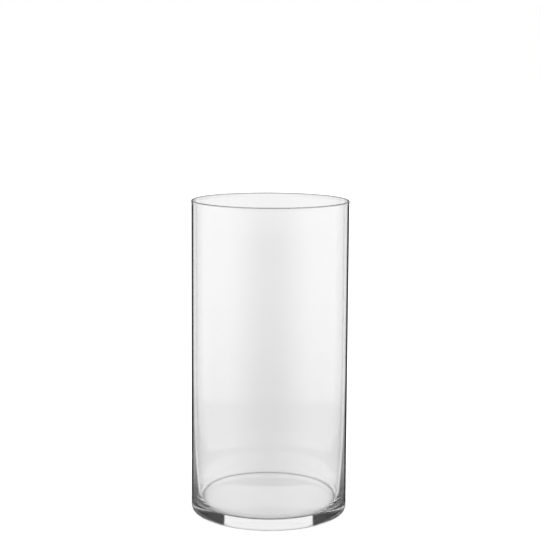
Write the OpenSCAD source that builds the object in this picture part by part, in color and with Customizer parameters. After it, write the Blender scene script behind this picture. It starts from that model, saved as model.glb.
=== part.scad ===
// Straight-sided clear glass vase, 300 mm tall and 150 mm across.
//
// The vase is one piece of blown glass. It is drawn as the four zones that a glassmaker names and
// forms: the fire-polished lip, the sidewall, the heel ring and the base disc. Each zone is a solid
// of revolution about Z, and neighbouring zones meet face to face.
//
// Z points up, the origin is the centre of the standing face, and sizes are in millimetres.

/* [Overall] */
// Outside diameter of the straight wall
outer_d = 150; // [100:1:220]
// Height from the standing face to the top of the lip
height = 300; // [220:1:450]

/* [Wall] */
// Thickness of the straight upper wall
wall_t = 1.8; // [1.2:0.1:4]
// Height above the floor at which the wall has thinned to wall_t
taper_h = 150; // [60:1:190]
// How much thicker than wall_t the wall would be at the floor
taper_t = 4.7; // [1:0.1:8]
// Height above the floor over which the inside of the wall flares into the base
flare_h = 14; // [8:1:60]
// How much thicker the flare makes the wall at the floor
flare_t = 1.4; // [0:0.1:4]

/* [Lip] */
// How far the fire-polished bead stands proud of the wall, outside
lip_proud = 0.25; // [0.1:0.05:1]
// Height of the lip zone, bead included
lip_h = 4; // [3:0.5:8]

/* [Base] */
// Height of the inside floor above the standing face
floor_z = 9; // [7:0.1:16]
// Radius of the inside corner between floor and wall
corner_r = 2; // [1:0.1:5]
// Height of wall that the heel ring carries above the inside corner
heel_land = 3; // [1:0.1:6]
// How far the rounded heel draws in from the wall
heel_w = 1.3; // [1:0.1:5]
// Height of the rounded heel above the standing face
heel_h = 4.5; // [2:0.1:7]
// Width of the flat ring that the vase stands on
bearing_w = 5; // [3:0.5:9]
// Height of the hollow under the middle of the base
push_up = 0.8; // [0.5:0.1:3]
// Distance from the standing ring to the edge of the base disc
disc_land = 5; // [2:0.5:8]

/* [Hidden] */

facets = 200;       // sides of each turned solid, as drawn
arc_steps = 8;      // straight steps in a quarter-round
bead_steps = 16;    // straight steps in the half-round of the bead
taper_steps = 24;   // straight steps up the tapered inside of the wall
dome_steps = 12;    // straight steps across the hollow under the base
taper_power = 3;    // a cubic taper or flare leaves no edge where it ends

outer_r = outer_d / 2;
bore_r = outer_r - wall_t;
taper_top_z = floor_z + taper_h;

// The bead's inside is flush with the bore, so that what fits the bore passes the lip.
bead_r = (wall_t + lip_proud) / 2;
bead_x = bore_r + bead_r;
bead_z = height - bead_r;
lip_z = height - lip_h;

bearing_outer_r = outer_r - heel_w;
bearing_inner_r = bearing_outer_r - bearing_w;
disc_r = bearing_inner_r - disc_land;
heel_top_z = floor_z + corner_r + heel_land;

// Share of a taper of height h above the floor that is left at height z: 1 at the floor, 0 above it.
function taper_left(z, h) = max(0, (floor_z + h - z) / h);

// Inside radius of the wall at height z.
function inside_r(z) = bore_r
    - taper_t * pow(taper_left(z, taper_h), taper_power)
    - flare_t * pow(taper_left(z, flare_h), taper_power);

// Lean of the inside of the wall from the vertical at height z, in degrees.
function inside_lean(z) = atan(taper_power * (
    taper_t / taper_h * pow(taper_left(z, taper_h), taper_power - 1)
    + flare_t / flare_h * pow(taper_left(z, flare_h), taper_power - 1)));

// Height of the underside at radius r, inside the standing ring.
function underside_z(r) = push_up * pow(1 - pow(r / bearing_inner_r, 2), 2);

// Points along a round of half-width rx and half-height rz about [x, z], from angle a0 to a1.
function round_points(x, z, rx, rz, a0, a1, steps) =
    [for (i = [0:steps]) let (a = a0 + (a1 - a0) * i / steps) [x + rx * cos(a), z + rz * sin(a)]];

// Points down the inside of the wall, from height z0 to z1, closer together towards z1.
function inside_points(z0, z1, steps) =
    [for (i = [0:steps]) let (z = z1 + (z0 - z1) * pow(1 - i / steps, 2)) [inside_r(z), z]];

// Points across the hollow under the base, from radius r0 to r1.
function underside_points(r0, r1, steps) =
    [for (i = [0:steps]) let (r = r0 + (r1 - r0) * i / steps) [r, underside_z(r)]];

// The inside corner touches both the floor and the leaning wall.
corner_lean = inside_lean(floor_z + corner_r);
corner_top_z = floor_z + corner_r * (1 - sin(corner_lean));
corner_x = inside_r(corner_top_z) - corner_r * cos(corner_lean);

// Turns an outline, given as [radius, height] points, into clear glass.
module turned_glass(points) {
    color([0.84, 0.88, 0.88, 0.4]) rotate_extrude($fn = facets) polygon(points);
}

// The lip: a short neck that swells outwards into the half-round bead.
module lip() {
    turned_glass(concat(
        [[bore_r, lip_z], [outer_r, lip_z]],
        round_points(bead_x, bead_z, bead_r, bead_r, 0, 180, bead_steps)
    ));
}

// The sidewall: straight outside, and inside a straight bore above a taper.
module sidewall() {
    turned_glass(concat(
        [[outer_r, heel_top_z], [outer_r, lip_z], [bore_r, lip_z]],
        inside_points(taper_top_z, heel_top_z, taper_steps)
    ));
}

// The heel ring: the thick lower corner of the glass, from the standing ring up to the sidewall.
module heel_ring() {
    turned_glass(concat(
        round_points(bearing_outer_r, heel_h, heel_w, heel_h, -90, 0, arc_steps),
        [[outer_r, heel_top_z]],
        inside_points(heel_top_z, corner_top_z, arc_steps),
        round_points(corner_x, floor_z + corner_r, corner_r, corner_r, -corner_lean, -90, arc_steps),
        [[disc_r, floor_z]],
        underside_points(disc_r, bearing_inner_r, arc_steps)
    ));
}

// The base disc: the flat inside floor, over the shallow hollow underneath.
module base_disc() {
    turned_glass(concat(
        underside_points(0, disc_r, dome_steps),
        [[disc_r, floor_z], [0, floor_z]]
    ));
}

lip();
sidewall();
heel_ring();
base_disc();
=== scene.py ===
"""A clear glass cylinder vase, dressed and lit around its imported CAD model.

The vase is one piece of blown soda-lime glass, so its four CAD zones are shown by one closed
shell. A shell for each zone would put glass faces inside the glass, and they would show.
Lengths are in metres unless a name ends in _mm, and angles are in degrees.
"""

import logging
import math
from dataclasses import dataclass, field
from enum import Enum

import bpy
import bmesh
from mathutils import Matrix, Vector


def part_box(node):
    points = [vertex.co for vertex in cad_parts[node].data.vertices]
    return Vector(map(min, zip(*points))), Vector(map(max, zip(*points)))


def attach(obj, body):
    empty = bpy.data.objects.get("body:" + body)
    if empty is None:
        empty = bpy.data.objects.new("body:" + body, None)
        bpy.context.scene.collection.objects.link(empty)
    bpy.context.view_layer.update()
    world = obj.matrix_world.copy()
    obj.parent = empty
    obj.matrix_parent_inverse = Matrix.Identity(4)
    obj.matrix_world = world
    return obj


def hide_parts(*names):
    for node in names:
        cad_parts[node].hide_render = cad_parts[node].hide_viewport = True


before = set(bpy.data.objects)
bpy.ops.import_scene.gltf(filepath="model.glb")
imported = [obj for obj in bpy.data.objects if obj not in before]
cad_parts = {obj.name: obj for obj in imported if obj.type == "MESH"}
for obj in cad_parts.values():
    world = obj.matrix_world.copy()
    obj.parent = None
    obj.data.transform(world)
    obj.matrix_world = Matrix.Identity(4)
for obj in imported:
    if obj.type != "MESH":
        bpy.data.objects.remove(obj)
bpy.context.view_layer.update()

MM = 0.001
TOUCHING = 1e-6  # closer than this, two points or heights count as the same
LOG = logging.getLogger("vase")
EASE = "EASE"  # eases from one level to another, as its first input goes from low to high

Point = tuple[float, float]


class Node(Enum):
    """The CAD model's nodes, from the top of the vase to the bottom."""

    LIP = "lip"
    SIDEWALL = "sidewall"
    HEEL_RING = "heel_ring"
    BASE_DISC = "base_disc"


# ---------------------------------------------------------------------------- small helpers


def hex_linear(code: str) -> tuple[float, float, float, float]:
    """Turns an sRGB hex colour into a linear one.

    Args:
        code: The colour, such as "#F4F7F6".

    Returns:
        Linear red, green, blue and an alpha of 1.
    """
    parts = [int(code[i:i + 2], 16) / 255 for i in (1, 3, 5)]
    linear = [c / 12.92 if c <= 0.04045 else ((c + 0.055) / 1.055) ** 2.4 for c in parts]
    return (*linear, 1.0)


def add_node(
    tree: bpy.types.NodeTree,
    kind: str,
    links: dict | None = None,
    values: dict | None = None,
    **settings,
) -> bpy.types.Node:
    """Adds a node with its settings and links.

    Args:
        tree: The tree that the node goes into.
        kind: The node's type name.
        links: Output sockets by the name or number of the input that each one feeds.
        values: Plain values by the name or number of the input that each one sets.
        settings: The node's own attributes.

    Returns:
        The new node.
    """
    node = tree.nodes.new(kind)
    for name, value in settings.items():
        setattr(node, name, value)
    for key, value in (values or {}).items():
        node.inputs[key].default_value = value
    for key, socket in (links or {}).items():
        tree.links.new(socket, node.inputs[key])
    return node


def add_steps(tree: bpy.types.NodeTree, known: dict, steps: tuple) -> None:
    """Adds a chain of nodes, each one named so that the later ones can use its result.

    Args:
        tree: The tree that the nodes go into.
        known: Sockets by name, which the steps use and add their own results to.
        steps: For each node its result's name, what it works out, and its inputs in order. An
            input is a number or a known name. What it works out is EASE, or a Math operation.
    """
    for name, work, *terms in steps:
        plain = {i: t for i, t in enumerate(terms) if not isinstance(t, str)}
        wired = {i: known[t] for i, t in enumerate(terms) if isinstance(t, str)}
        kind, settings = "ShaderNodeMath", {"operation": work}
        if work == EASE:
            kind, settings = "ShaderNodeMapRange", {"interpolation_type": "SMOOTHSTEP"}
        known[name] = add_node(tree, kind, wired, plain, **settings).outputs[0]


# ---------------------------------------------------------------------------- the glass


@dataclass(frozen=True)
class BlownGlass:
    """Clear soda-lime glass, blown in a mould and fire polished.

    Polished glass gives the eye sharp refraction and a mirror gloss, with no grain. What shows
    that it was blown is that it isn't quite flat: the reflections waver a little.
    """

    name: str = "soda_lime_glass_blown_fire_polished"
    tint: str = "#FCFCFC"
    # Painted shade: a grey mixed into the glass colour, which draws dark lines at the rim's bead and
    # round the inside corner of the floor.
    painted_line_grey: str = "#868686"
    ior: float = 1.52
    wave_mm: float = 26.0
    wave_depth_mm: float = 0.004

    def material(self) -> bpy.types.Material:
        """Builds the material.

        Returns:
            The finished material.
        """
        made = bpy.data.materials.new(self.name)
        made.use_nodes = True
        tree = made.node_tree
        tree.nodes.clear()
        place = add_node(tree, "ShaderNodeTexCoord")
        waves = add_node(
            tree, "ShaderNodeTexNoise", {"Vector": place.outputs["Object"]},
            {"Scale": 1 / (self.wave_mm * MM), "Detail": 1.5, "Roughness": 0.45},
        )
        bump = add_node(
            tree, "ShaderNodeBump", {"Height": waves.outputs["Fac"]},
            {"Strength": 1.0, "Distance": self.wave_depth_mm * MM},
        )
        # Painted shade: the glass colour turns to the painted grey where the shell's painted line
        # strength is high, at the rim and round the floor's inside corner.
        painted_dark_lines = add_node(tree, "ShaderNodeAttribute", attribute_name="painted_dark_lines")
        tint = add_node(
            tree, "ShaderNodeMix", {"Factor": painted_dark_lines.outputs["Fac"]},
            {6: hex_linear(self.tint), 7: hex_linear(self.painted_line_grey)}, data_type="RGBA")
        shader = add_node(
            tree, "ShaderNodeBsdfPrincipled",
            {"Normal": bump.outputs["Normal"], "Base Color": tint.outputs[2]},
            {"Roughness": 0.0, "IOR": self.ior, "Transmission Weight": 1.0},
        )
        add_node(tree, "ShaderNodeOutputMaterial", {"Surface": shader.outputs[0]})
        return made


# ---------------------------------------------------------------------------- the vase


@dataclass(frozen=True)
class Gaps:
    """How many gaps lie between the points along each stretch of the outline."""

    floor: int = 14
    floor_band: int = 9
    corner: int = 10
    wall: int = 110
    bead: int = 20
    neck: int = 8
    side: int = 12
    heel: int = 12
    standing_ring: int = 5
    hollow: int = 20


@dataclass
class VaseShell:
    """The whole vase as one closed glass shell, turned from its outline."""

    glass: BlownGlass
    outer_r: float = field(default_factory=lambda: 75 * MM)
    height: float = field(default_factory=lambda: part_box(Node.LIP.value)[1].z)
    floor_z: float = field(default_factory=lambda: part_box(Node.BASE_DISC.value)[1].z)
    lip_z: float = field(default_factory=lambda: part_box(Node.LIP.value)[0].z)
    wall_t: float = 1.8 * MM
    taper_h: float = 150 * MM
    taper_t: float = 4.7 * MM
    taper_power: int = 3
    flare_h: float = 14 * MM
    flare_t: float = 1.4 * MM
    lip_proud: float = 0.25 * MM
    corner_r: float = 2.0 * MM
    heel_w: float = 1.3 * MM
    heel_h: float = 4.5 * MM
    bearing_w: float = 5.0 * MM
    push_up: float = 0.8 * MM
    gaps: Gaps = field(default_factory=Gaps)
    wall_crowding: float = 1.5
    facets: int = 360
    join_gap: float = 0.25 * MM
    floor_band: float = 8 * MM
    # line_reach and fade_reach: how far the painted shade lines spread from the floor's inside
    # corner, first a sharp line, then a wider fade.
    line_reach: float = 2.2 * MM
    fade_reach: float = 9 * MM
    still_top: float = 30 * MM
    still_middle: float = 20 * MM
    # The painted shade lines: how softly the rim's line starts at the bead's middle height, and how
    # grey the rim's line, the corner's line and the corner's fade are painted.
    rim_reach: float = 0.2 * MM
    rim_painted_shade: float = 0.85
    corner_painted_shade: float = 0.65
    corner_painted_fade: float = 0.4
    ripple_depth: float = 0.03 * MM
    ripple_spacing: float = 38 * MM

    def corner_top(self) -> float:
        """Gives the height where the inside corner meets the wall."""
        lean = self.inside_lean(self.floor_z + self.corner_r)
        return self.floor_z + self.corner_r * (1 - math.sin(lean))

    def floor_edge(self) -> float:
        """Gives the radius where the flat floor turns up into the corner."""
        lean = self.inside_lean(self.floor_z + self.corner_r)
        return self.inside_r(self.corner_top()) - self.corner_r * math.cos(lean)

    def bead_r(self) -> float:
        """Gives the radius of the lip's half-round bead."""
        return (self.wall_t + self.lip_proud) / 2

    def taper_left(self, z: float, reach: float) -> float:
        """Gives the share of a taper that is left at height z: 1 at the floor, 0 past its reach."""
        return max(0.0, (self.floor_z + reach - z) / reach)

    def inside_r(self, z: float) -> float:
        """Gives the inside radius of the wall at height z."""
        taper = self.taper_t * self.taper_left(z, self.taper_h) ** self.taper_power
        flare = self.flare_t * self.taper_left(z, self.flare_h) ** self.taper_power
        return self.outer_r - self.wall_t - taper - flare

    def inside_lean(self, z: float) -> float:
        """Gives the lean of the inside of the wall at height z, in radians from the vertical."""
        power = self.taper_power
        taper = self.taper_t / self.taper_h * self.taper_left(z, self.taper_h) ** (power - 1)
        flare = self.flare_t / self.flare_h * self.taper_left(z, self.flare_h) ** (power - 1)
        return math.atan(power * (taper + flare))

    @staticmethod
    def round_points(x: float, z: float, rx: float, rz: float, a0: float, a1: float,
                     steps: int) -> list[Point]:
        """Lays points along a round, both ends included.

        Args:
            x: Radius at which the round is centred.
            z: Height at which the round is centred.
            rx: Half-width of the round.
            rz: Half-height of the round.
            a0: Angle of the first point.
            a1: Angle of the last point.
            steps: Number of gaps between the points.

        Returns:
            The points, as radius and height.
        """
        angles = [math.radians(a0 + (a1 - a0) * i / steps) for i in range(steps + 1)]
        return [(x + rx * math.cos(a), z + rz * math.sin(a)) for a in angles]

    @staticmethod
    def spaced(low: float, high: float, steps: int) -> list[float]:
        """Spaces values evenly between two ends, leaving both ends out."""
        return [low + (high - low) * i / steps for i in range(1, steps)]

    def outline(self) -> list[Point]:
        """Lays out the section, from the middle of the floor round to the middle underneath.

        Returns:
            The section's points, as radius and height.
        """
        guard, gaps = self.join_gap, self.gaps
        lean = self.inside_lean(self.floor_z + self.corner_r)
        corner_top, corner_x = self.corner_top(), self.floor_edge()
        band_x = corner_x - self.floor_band
        bead_r = self.bead_r()
        bead_x = self.outer_r - self.wall_t + bead_r
        bead_z = self.height - bead_r
        bearing_out = self.outer_r - self.heel_w
        bearing_in = bearing_out - self.bearing_w

        points = [(0.0, self.floor_z)]
        points += [(r, self.floor_z) for r in self.spaced(0, band_x, gaps.floor)]
        points += [(r, self.floor_z) for r in self.spaced(band_x, corner_x, gaps.floor_band)]
        points += [(corner_x - guard, self.floor_z)]
        points += self.round_points(
            corner_x, self.floor_z + self.corner_r, self.corner_r, self.corner_r,
            -90, -math.degrees(lean), gaps.corner)
        for share in self.spaced(0, 1, gaps.wall):
            z = corner_top + (bead_z - corner_top) * share ** self.wall_crowding
            points.append((self.inside_r(z), z))
        points += [(self.inside_r(bead_z), bead_z - guard)]
        points += self.round_points(bead_x, bead_z, bead_r, bead_r, 180, 0, gaps.bead)
        for share in self.spaced(0, 1, gaps.neck):
            swell = (1 - share) ** 2 * (1 + 2 * share)
            points.append((self.outer_r + self.lip_proud * swell,
                           bead_z + (self.lip_z - bead_z) * share))
        points += [(self.outer_r, self.lip_z), (self.outer_r, self.lip_z - guard)]
        points += [(self.outer_r, z) for z in self.spaced(self.lip_z, self.heel_h, gaps.side)]
        points += [(self.outer_r, self.heel_h + guard)]
        points += self.round_points(
            bearing_out, self.heel_h, self.heel_w, self.heel_h, 0, -90, gaps.heel)
        points += [(r, 0.0) for r in self.spaced(bearing_out, bearing_in, gaps.standing_ring)]
        points += [(bearing_in, 0.0)]
        points += [(r, self.push_up * (1 - (r / bearing_in) ** 2) ** 2)
                   for r in self.spaced(bearing_in, 0, gaps.hollow)]
        points += [(0.0, self.push_up)]
        return points

    def outline_object(self) -> bpy.types.Object:
        """Makes the outline as an edge mesh, marked where it may ripple and where dark lines of shade
        are painted into the glass.

        Returns:
            The object that the turning tree starts from.
        """
        points = self.outline()
        mesh = bpy.data.meshes.new("vase_outline")
        edges = [(i, i + 1) for i in range(len(points) - 1)]
        mesh.from_pydata([(r, 0.0, z) for r, z in points], edges, [])
        free = mesh.attributes.new("free_surface", "FLOAT", "POINT")
        edge = mesh.attributes.new("painted_dark_lines", "FLOAT", "POINT")
        middle = self.outer_r - self.wall_t / 2
        bead_z = self.height - self.bead_r()
        corner_x = self.floor_edge()
        for i, (r, z) in enumerate(points):
            inside = r < middle and z > self.floor_z - TOUCHING
            fade = min(1.0, (self.height - z) / self.still_top)
            free.data[i].value = fade if inside else 0.0
            # Painted shade: how grey the glass is painted, in a line at the rim's bead and in a line
            # and a fade round the floor's inside corner.
            rim = min(1.0, max(0.0, (z - bead_z) / self.rim_reach + 0.5))
            near = math.hypot(r - corner_x, z - self.floor_z)
            corner = self.corner_painted_shade * max(0.0, 1 - near / self.line_reach)
            corner += self.corner_painted_fade * max(0.0, 1 - near / self.fade_reach) ** 2
            edge.data[i].value = max(self.rim_painted_shade * rim, corner if inside else 0.0)
        made = bpy.data.objects.new("vase_outline", mesh)
        bpy.context.scene.collection.objects.link(made)
        return made

    def turning_tree(self) -> bpy.types.NodeTree:
        """Builds the tree that turns an outline about Z into a closed, slightly rippled shell.

        Returns:
            The Geometry Nodes tree, with its sizes as named inputs.
        """
        tree = bpy.data.node_groups.new("turned_glass", "GeometryNodeTree")
        for name, kind in (
            ("Outline", "NodeSocketGeometry"), ("Facets", "NodeSocketInt"),
            ("Ripple depth", "NodeSocketFloat"), ("Ripple spacing", "NodeSocketFloat"),
            ("Seed", "NodeSocketFloat"), ("Glass", "NodeSocketMaterial"),
        ):
            tree.interface.new_socket(name, in_out="INPUT", socket_type=kind)
        tree.interface.new_socket("Shell", in_out="OUTPUT", socket_type="NodeSocketGeometry")
        given = add_node(tree, "NodeGroupInput").outputs

        size = add_node(
            tree, "GeometryNodeAttributeDomainSize", {"Geometry": given["Outline"]},
            component="MESH")
        known = {
            "facets": given["Facets"], "depth": given["Ripple depth"],
            "spacing": given["Ripple spacing"],
            "index": add_node(tree, "GeometryNodeInputIndex").outputs[0],
        }
        add_steps(tree, known, (
            ("rows", "ADD", "facets", 1),
            ("middle", "ADD", "index", 0.5),
            ("along", "DIVIDE", "middle", "rows"),
            ("along", "FLOOR", "along"),
            ("passed", "MULTIPLY", "along", "rows"),
            ("around", "SUBTRACT", "index", "passed"),
            ("turn", "DIVIDE", "around", "facets"),
            ("angle", "MULTIPLY", "turn", math.tau),
            ("cos", "COSINE", "angle"),
            ("sin", "SINE", "angle"),
            ("scale", "DIVIDE", 1, "spacing"),
        ))
        grid = add_node(
            tree, "GeometryNodeMeshGrid",
            {"Vertices X": size.outputs["Point Count"], "Vertices Y": known["rows"]})

        read = {"spot": add_node(tree, "GeometryNodeInputPosition")}
        for name in ("free_surface", "painted_dark_lines"):
            read[name] = add_node(
                tree, "GeometryNodeInputNamedAttribute", values={"Name": name}, data_type="FLOAT")
        for name, source in read.items():
            known[name] = add_node(
                tree, "GeometryNodeSampleIndex",
                {"Geometry": given["Outline"], "Value": source.outputs[0], "Index": known["along"]},
                data_type="FLOAT_VECTOR" if name == "spot" else "FLOAT",
                domain="POINT").outputs[0]
        parts = add_node(tree, "ShaderNodeSeparateXYZ", {0: known["spot"]}).outputs
        known["radius"] = parts[0]
        add_steps(tree, known, (
            ("x", "MULTIPLY", "radius", "cos"),
            ("y", "MULTIPLY", "radius", "sin"),
        ))
        smooth = add_node(tree, "ShaderNodeCombineXYZ", {0: known["x"], 1: known["y"], 2: parts[2]})

        known["noise"] = add_node(
            tree, "ShaderNodeTexNoise",
            {"Vector": smooth.outputs[0], "W": given["Seed"], "Scale": known["scale"]},
            {"Detail": 1.0, "Roughness": 0.4}, noise_dimensions="4D").outputs[0]
        add_steps(tree, known, (
            ("swing", "SUBTRACT", "noise", 0.5),
            ("depth", "MULTIPLY", "depth", 2),
            ("depth", "MULTIPLY", "free_surface", "depth"),
            ("push", "MULTIPLY", "swing", "depth"),
            ("share", "DIVIDE", "radius", self.still_middle),
            ("share", "MINIMUM", 1, "share"),
            ("push", "MULTIPLY", "push", "share"),
            ("radius", "ADD", "radius", "push"),
            ("x", "MULTIPLY", "radius", "cos"),
            ("y", "MULTIPLY", "radius", "sin"),
        ))
        rippled = add_node(tree, "ShaderNodeCombineXYZ", {0: known["x"], 1: known["y"], 2: parts[2]})
        # The painted shade lines' strength goes onto the shell, point by point from the outline.
        marked = add_node(
            tree, "GeometryNodeStoreNamedAttribute",
            {"Geometry": grid.outputs["Mesh"], "Value": known["painted_dark_lines"]}, {"Name": "painted_dark_lines"},
            data_type="FLOAT", domain="POINT")
        placed = add_node(
            tree, "GeometryNodeSetPosition",
            {"Geometry": marked.outputs[0], "Position": rippled.outputs[0]})
        closed = add_node(
            tree, "GeometryNodeMergeByDistance", {"Geometry": placed.outputs[0]},
            {"Distance": TOUCHING})
        soft = add_node(tree, "GeometryNodeSetShadeSmooth", {"Geometry": closed.outputs[0]})
        real = add_node(tree, "GeometryNodeRealizeInstances", {"Geometry": soft.outputs[0]})
        dressed = add_node(
            tree, "GeometryNodeSetMaterial",
            {"Geometry": real.outputs[0], "Material": given["Glass"]})
        add_node(tree, "NodeGroupOutput", {0: dressed.outputs[0]})
        return tree

    def build(self) -> bpy.types.Object:
        """Turns the outline into the finished shell.

        Returns:
            The vase, a plain mesh at the origin.
        """
        start = self.outline_object()
        turner = start.modifiers.new("turned", "NODES")
        turner.node_group = self.turning_tree()
        wanted = {
            "Facets": self.facets, "Ripple depth": self.ripple_depth,
            "Ripple spacing": self.ripple_spacing, "Seed": 7.0, "Glass": self.glass.material(),
        }
        for item in turner.node_group.interface.items_tree:
            if item.in_out == "INPUT" and item.name in wanted:
                turner[item.identifier] = wanted[item.name]
        ready = start.evaluated_get(bpy.context.evaluated_depsgraph_get())
        mesh = bpy.data.meshes.new_from_object(ready)
        mesh.name = "glass_vase"
        bpy.data.objects.remove(start)
        made = bpy.data.objects.new("glass_vase", mesh)
        bpy.context.scene.collection.objects.link(made)
        check = bmesh.new()
        check.from_mesh(mesh)
        volume = check.calc_volume(signed=True)
        loose = sum(1 for e in check.edges if len(e.link_faces) != 2)
        check.free()
        LOG.info("shell: %d faces, %.0f cm3, %d open edges", len(mesh.polygons), volume * 1e6, loose)
        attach(made, "root")
        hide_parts(*[n.value for n in Node])
        return made


# ---------------------------------------------------------------------------- the studio


@dataclass
class Studio:
    """A white table in a dim room, with a white wall behind and soft light from both sides.

    The light isn't that of a real room. Its level also depends on how often a ray has passed
    through the glass or been reflected, so that clear glass, its edges and its heel each get
    their own. The floor is hidden from rays that meet the glass, and a level stands in for it.
    """

    floor_half: float = 30.0
    floor_drop: float = 0.2 * MM
    white: float = 1.0
    table: float = 1.6
    dim: float = 0.03
    side: float = 1.45
    wing: float = 0.9
    rim_side: float = 0.1
    wall: float = 0.92

    def floor(self) -> bpy.types.Object:
        """Makes the plain pale floor.

        Returns:
            The floor, marked as part of the stage.
        """
        s, z = self.floor_half, -self.floor_drop
        mesh = bpy.data.meshes.new("floor")
        mesh.from_pydata([(-s, -s, z), (s, -s, z), (s, s, z), (-s, s, z)], [], [(0, 1, 2, 3)])
        made = bpy.data.objects.new("floor", mesh)
        bpy.context.scene.collection.objects.link(made)
        paint = bpy.data.materials.new("matt_white_table")
        paint.use_nodes = True
        shader = paint.node_tree.nodes["Principled BSDF"]
        shader.inputs["Base Color"].default_value = hex_linear("#F4F4F4")
        shader.inputs["Roughness"].default_value = 1.0
        shader.inputs["Specular IOR Level"].default_value = 0.0
        mesh.materials.append(paint)
        made.visible_glossy = False
        made.visible_transmission = False
        return made

    def world(self) -> None:
        """Sets the light that surrounds the vase."""
        world = bpy.data.worlds.new("studio")
        bpy.context.scene.world = world
        world.use_nodes = True
        world.cycles.sampling_method = "NONE"
        tree = world.node_tree
        tree.nodes.clear()
        ray = add_node(tree, "ShaderNodeLightPath").outputs
        toward = add_node(tree, "ShaderNodeTexCoord").outputs["Generated"]
        x, y, z = add_node(tree, "ShaderNodeSeparateXYZ", {0: toward}).outputs
        rad = math.radians
        known = {
            "x": x, "y": y, "z": z, "reflections": ray["Glossy Depth"],
            "passes": ray["Transmission Depth"], "bounces": ray["Diffuse Depth"],
            "camera": ray["Is Camera Ray"],
        }
        add_steps(tree, known, (
            ("azimuth", "ARCTAN2", "x", "y"),
            ("azimuth", "ABSOLUTE", "azimuth"),
            ("upward", EASE, "z", 0.08, 0.14, 0.0, 1.0),
            # What shows straight through the glass: a little greyer towards the table.
            ("horizon", EASE, "z", -0.145, -0.10, 0.955, 0.97),
            ("lower", EASE, "z", -0.29, -0.14, 0.89, 1.0),
            ("clear", "MULTIPLY", "horizon", "lower"),
            ("steep", EASE, "z", -0.80, -0.34, 1.12, 1.0),
            ("clear", "MULTIPLY", "clear", "steep"),
            # The white wall behind the vase, and its like behind the camera.
            ("odd", "MODULO", "reflections", 2),
            ("even", "LESS_THAN", "odd", 0.5),
            ("lit", "MAXIMUM", "upward", "even"),
            ("behind", EASE, "azimuth", rad(24), rad(25.5), 1.0, 0.0),
            ("before", EASE, "azimuth", rad(130), rad(145), 0.0, 1.0),
            ("back", "ADD", "behind", "before"),
            ("back", "MULTIPLY", "back", "lit"),
            ("back", "MULTIPLY", "back", self.wall),
            ("top", EASE, "z", 0.40, 0.46, 1.0, 0.0),
            ("panel", "MULTIPLY", "back", "top"),
            ("narrow", EASE, "azimuth", rad(40), rad(41), 1.0, 0.0),
            ("panel", "MULTIPLY", "panel", "narrow"),
            # The soft light from both sides, weaker near the table and behind the camera.
            ("wings", EASE, "azimuth", rad(26), rad(30), 0.0, self.wing),
            ("swell", EASE, "azimuth", rad(45), rad(65), 1.0, self.side / self.wing),
            ("sides", "MULTIPLY", "wings", "swell"),
            ("table_top", EASE, "z", -0.315, -0.29, 0.15, 1.0),
            ("sides", "MULTIPLY", "sides", "table_top"),
            ("past", EASE, "azimuth", rad(105), rad(180), 0.0, 0.85),
            ("low", EASE, "z", -0.135, -0.105, 1.0, 0.65),
            ("shade", "MULTIPLY", "past", "low"),
            ("shade", "SUBTRACT", 1, "shade"),
            ("sides", "MULTIPLY", "sides", "shade"),
            ("room", "MAXIMUM", "sides", "panel"),
            ("room", "ADD", self.dim, "room"),
            # What the edge of the wall and the heel pick up inside the glass.
            ("once", "COMPARE", "reflections", 1, 0.5),
            ("flat", "SUBTRACT", 1, "upward"),
            ("glancing", "MULTIPLY", "once", "flat"),
            ("rim", EASE, "azimuth", rad(26), rad(30), self.rim_side, self.wing),
            ("rim_end", EASE, "azimuth", rad(36), rad(44), 1.0, 0.0),
            ("rim", "MULTIPLY", "rim", "rim_end"),
            ("glancing", "MULTIPLY", "glancing", "rim"),
            ("thick", "MAXIMUM", "glancing", "back"),
            ("thick", "ADD", self.dim, "thick"),
            ("twice", "COMPARE", "passes", 2, 0.5),
            ("reflected", "GREATER_THAN", "reflections", 0.5),
            ("scattered", "GREATER_THAN", "bounces", 0.5),
        ))
        for share, first, second in (
            ("twice", "room", "thick"), ("reflected", "clear", "level"),
            ("scattered", "level", self.table), ("camera", "level", self.white),
        ):
            add_steps(tree, known, (
                ("gap", "SUBTRACT", second, first), ("gap", "MULTIPLY", "gap", share),
                ("level", "ADD", first, "gap")))
        light = add_node(
            tree, "ShaderNodeBackground", {"Strength": known["level"]}, {"Color": (1, 1, 1, 1)})
        add_node(tree, "ShaderNodeOutputWorld", {"Surface": light.outputs[0]})

    def build(self) -> None:
        """Builds the floor and the light."""
        self.floor()
        self.world()


@dataclass
class Camera:
    """The camera: above the mouth, looking down a little and turned slightly about its view."""

    aside: float = -0.0002
    distance: float = 1.2708
    above: float = 0.4254
    down: float = 7.224
    lens: float = 89.54
    sensor: float = 36.0
    roll: float = 0.338
    shift: float = -0.0613

    def build(self) -> None:
        """Makes the camera and hands it to the scene."""
        data = bpy.data.cameras.new("camera")
        data.sensor_width = self.sensor
        data.lens = self.lens
        data.shift_y = self.shift
        made = bpy.data.objects.new("camera", data)
        made.location = (self.aside, -self.distance, self.above)
        made.rotation_mode = "ZXY"
        made.rotation_euler = (math.radians(90 - self.down), 0, math.radians(self.roll))
        bpy.context.scene.collection.objects.link(made)
        bpy.context.scene.camera = made


def set_light_paths() -> None:
    """Lets light through the many faces of solid glass, and keeps white as plain white."""
    scene = bpy.context.scene
    bounces = 32
    scene.view_settings.view_transform = "Standard"
    scene.cycles.max_bounces = bounces
    scene.cycles.transmission_bounces = bounces
    scene.cycles.glossy_bounces = bounces
    scene.cycles.use_denoising = True


def main() -> None:
    """Builds the vase and the studio, in order."""
    logging.basicConfig(level=logging.INFO, format="%(name)s: %(message)s")
    Camera().build()
    set_light_paths()
    vase = VaseShell(BlownGlass()).build()
    LOG.info("piece %s", vase.name)
    Studio().build()


if __name__ == "__main__":
    main()
